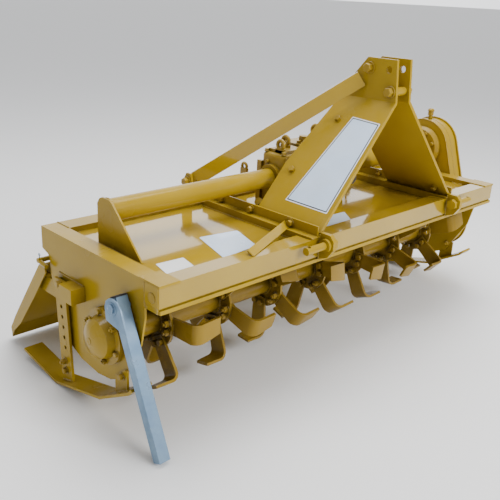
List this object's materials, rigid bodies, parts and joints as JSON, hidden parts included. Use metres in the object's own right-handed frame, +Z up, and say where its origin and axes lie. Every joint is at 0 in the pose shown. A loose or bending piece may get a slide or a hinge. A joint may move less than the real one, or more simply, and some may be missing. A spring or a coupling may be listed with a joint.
{
  "type": "three-point rotary tiller",
  "caption": "Tractor-mounted rotary tiller: flat hood, hitch mast, gearbox, side drive case, tine rotor, skids, parking stand and hinged tailgate.",
  "frame": {"origin": "centre of the footprint, on the floor the machine is parked on", "axes": "+X to the side drive (machine's left seen from the tractor seat, far end), -Y towards the tractor, +Z up"},
  "size_m": [1.6796, 0.8017, 0.898],
  "materials": {
    "gold_paint": "gloss mustard-gold paint on steel, worn at edges",
    "gold_painted_casting": "same paint over rough castings",
    "zinc_plated_steel": "bright zinc plate with a bluish tone",
    "bare_steel": "bare oiled steel"
  },
  "bodies": {
    "frame": {"axle_housing": "gold_painted_casting", "brace_left": "gold_paint", "brace_lug_left": "gold_paint", "brace_lug_right": "gold_paint", "brace_right": "gold_paint", "case_breather": "gold_paint", "case_flange": "gold_painted_casting", "cross_tube": "gold_paint", "deck_sheet": "gold_paint", "drive_tube": "gold_paint", "front_bar": "gold_paint", "gear_case": "gold_painted_casting", "gear_case_cover": "gold_painted_casting", "gearbox_cover": "gold_painted_casting", "gearbox_housing": "gold_painted_casting", "hitch_bracket_left": "gold_paint", "hitch_bracket_right": "gold_paint", "hitch_pin_left": "gold_paint", "hitch_pin_right": "gold_paint", "input_bearing_cap": "gold_painted_casting", "mast_foot_left": "gold_paint", "mast_foot_right": "gold_paint", "mast_plate_left": "gold_paint", "mast_plate_right": "gold_paint", "mast_spacer": "gold_paint", "rear_apron": "gold_paint", "rotor_bearing": "gold_painted_casting", "side_plate_left": "gold_paint", "side_plate_right": "gold_paint", "skid_bracket_left": "gold_paint", "skid_bracket_right": "gold_paint", "skid_left": "gold_paint", "skid_right": "gold_paint", "skid_upright_left": "gold_paint", "skid_upright_right": "gold_paint", "stand_bracket": "zinc_plated_steel", "tailgate_rod": "gold_paint", "tailgate_stop_left": "gold_paint", "tailgate_stop_right": "gold_paint", "tube_gusset": "gold_paint"},
    "rotor": {"rotor_tube": "gold_paint", "tine_set_1": "gold_paint", "tine_set_2": "gold_paint", "tine_set_3": "gold_paint", "tine_set_4": "gold_paint", "tine_set_5": "gold_paint", "tine_set_6": "gold_paint", "tine_set_7": "gold_paint"},
    "input_shaft_body": {"input_shaft": "bare_steel"},
    "stand": {"parking_stand": "zinc_plated_steel"},
    "tailgate_body": {"tailgate": "gold_paint"}
  },
  "joints": [
    {"name": "rotor_spin", "type": "hinge", "parent": "frame", "child": "rotor", "pos_m": [-0.0148, -0.1312, 0.23], "axis": [1, 0, 0], "continuous": true},
    {"name": "input_spin", "type": "hinge", "parent": "frame", "child": "input_shaft_body", "pos_m": [0.1052, -0.1412, 0.517], "axis": [0, 1, 0], "continuous": true},
    {"name": "stand_swing", "type": "hinge", "parent": "frame", "child": "stand", "pos_m": [-0.8068, -0.2292, 0.353], "axis": [1, 0, 0], "range_deg": [-155, 0]},
    {"name": "tailgate_swing", "type": "hinge", "parent": "frame", "child": "tailgate_body", "pos_m": [-0.0148, 0.1758, 0.339], "axis": [1, 0, 0], "range_deg": [0, 70]}
  ],
  "couplings": [
    {"joint": "input_spin", "follows": "rotor_spin", "ratio": 2.5}
  ]
}
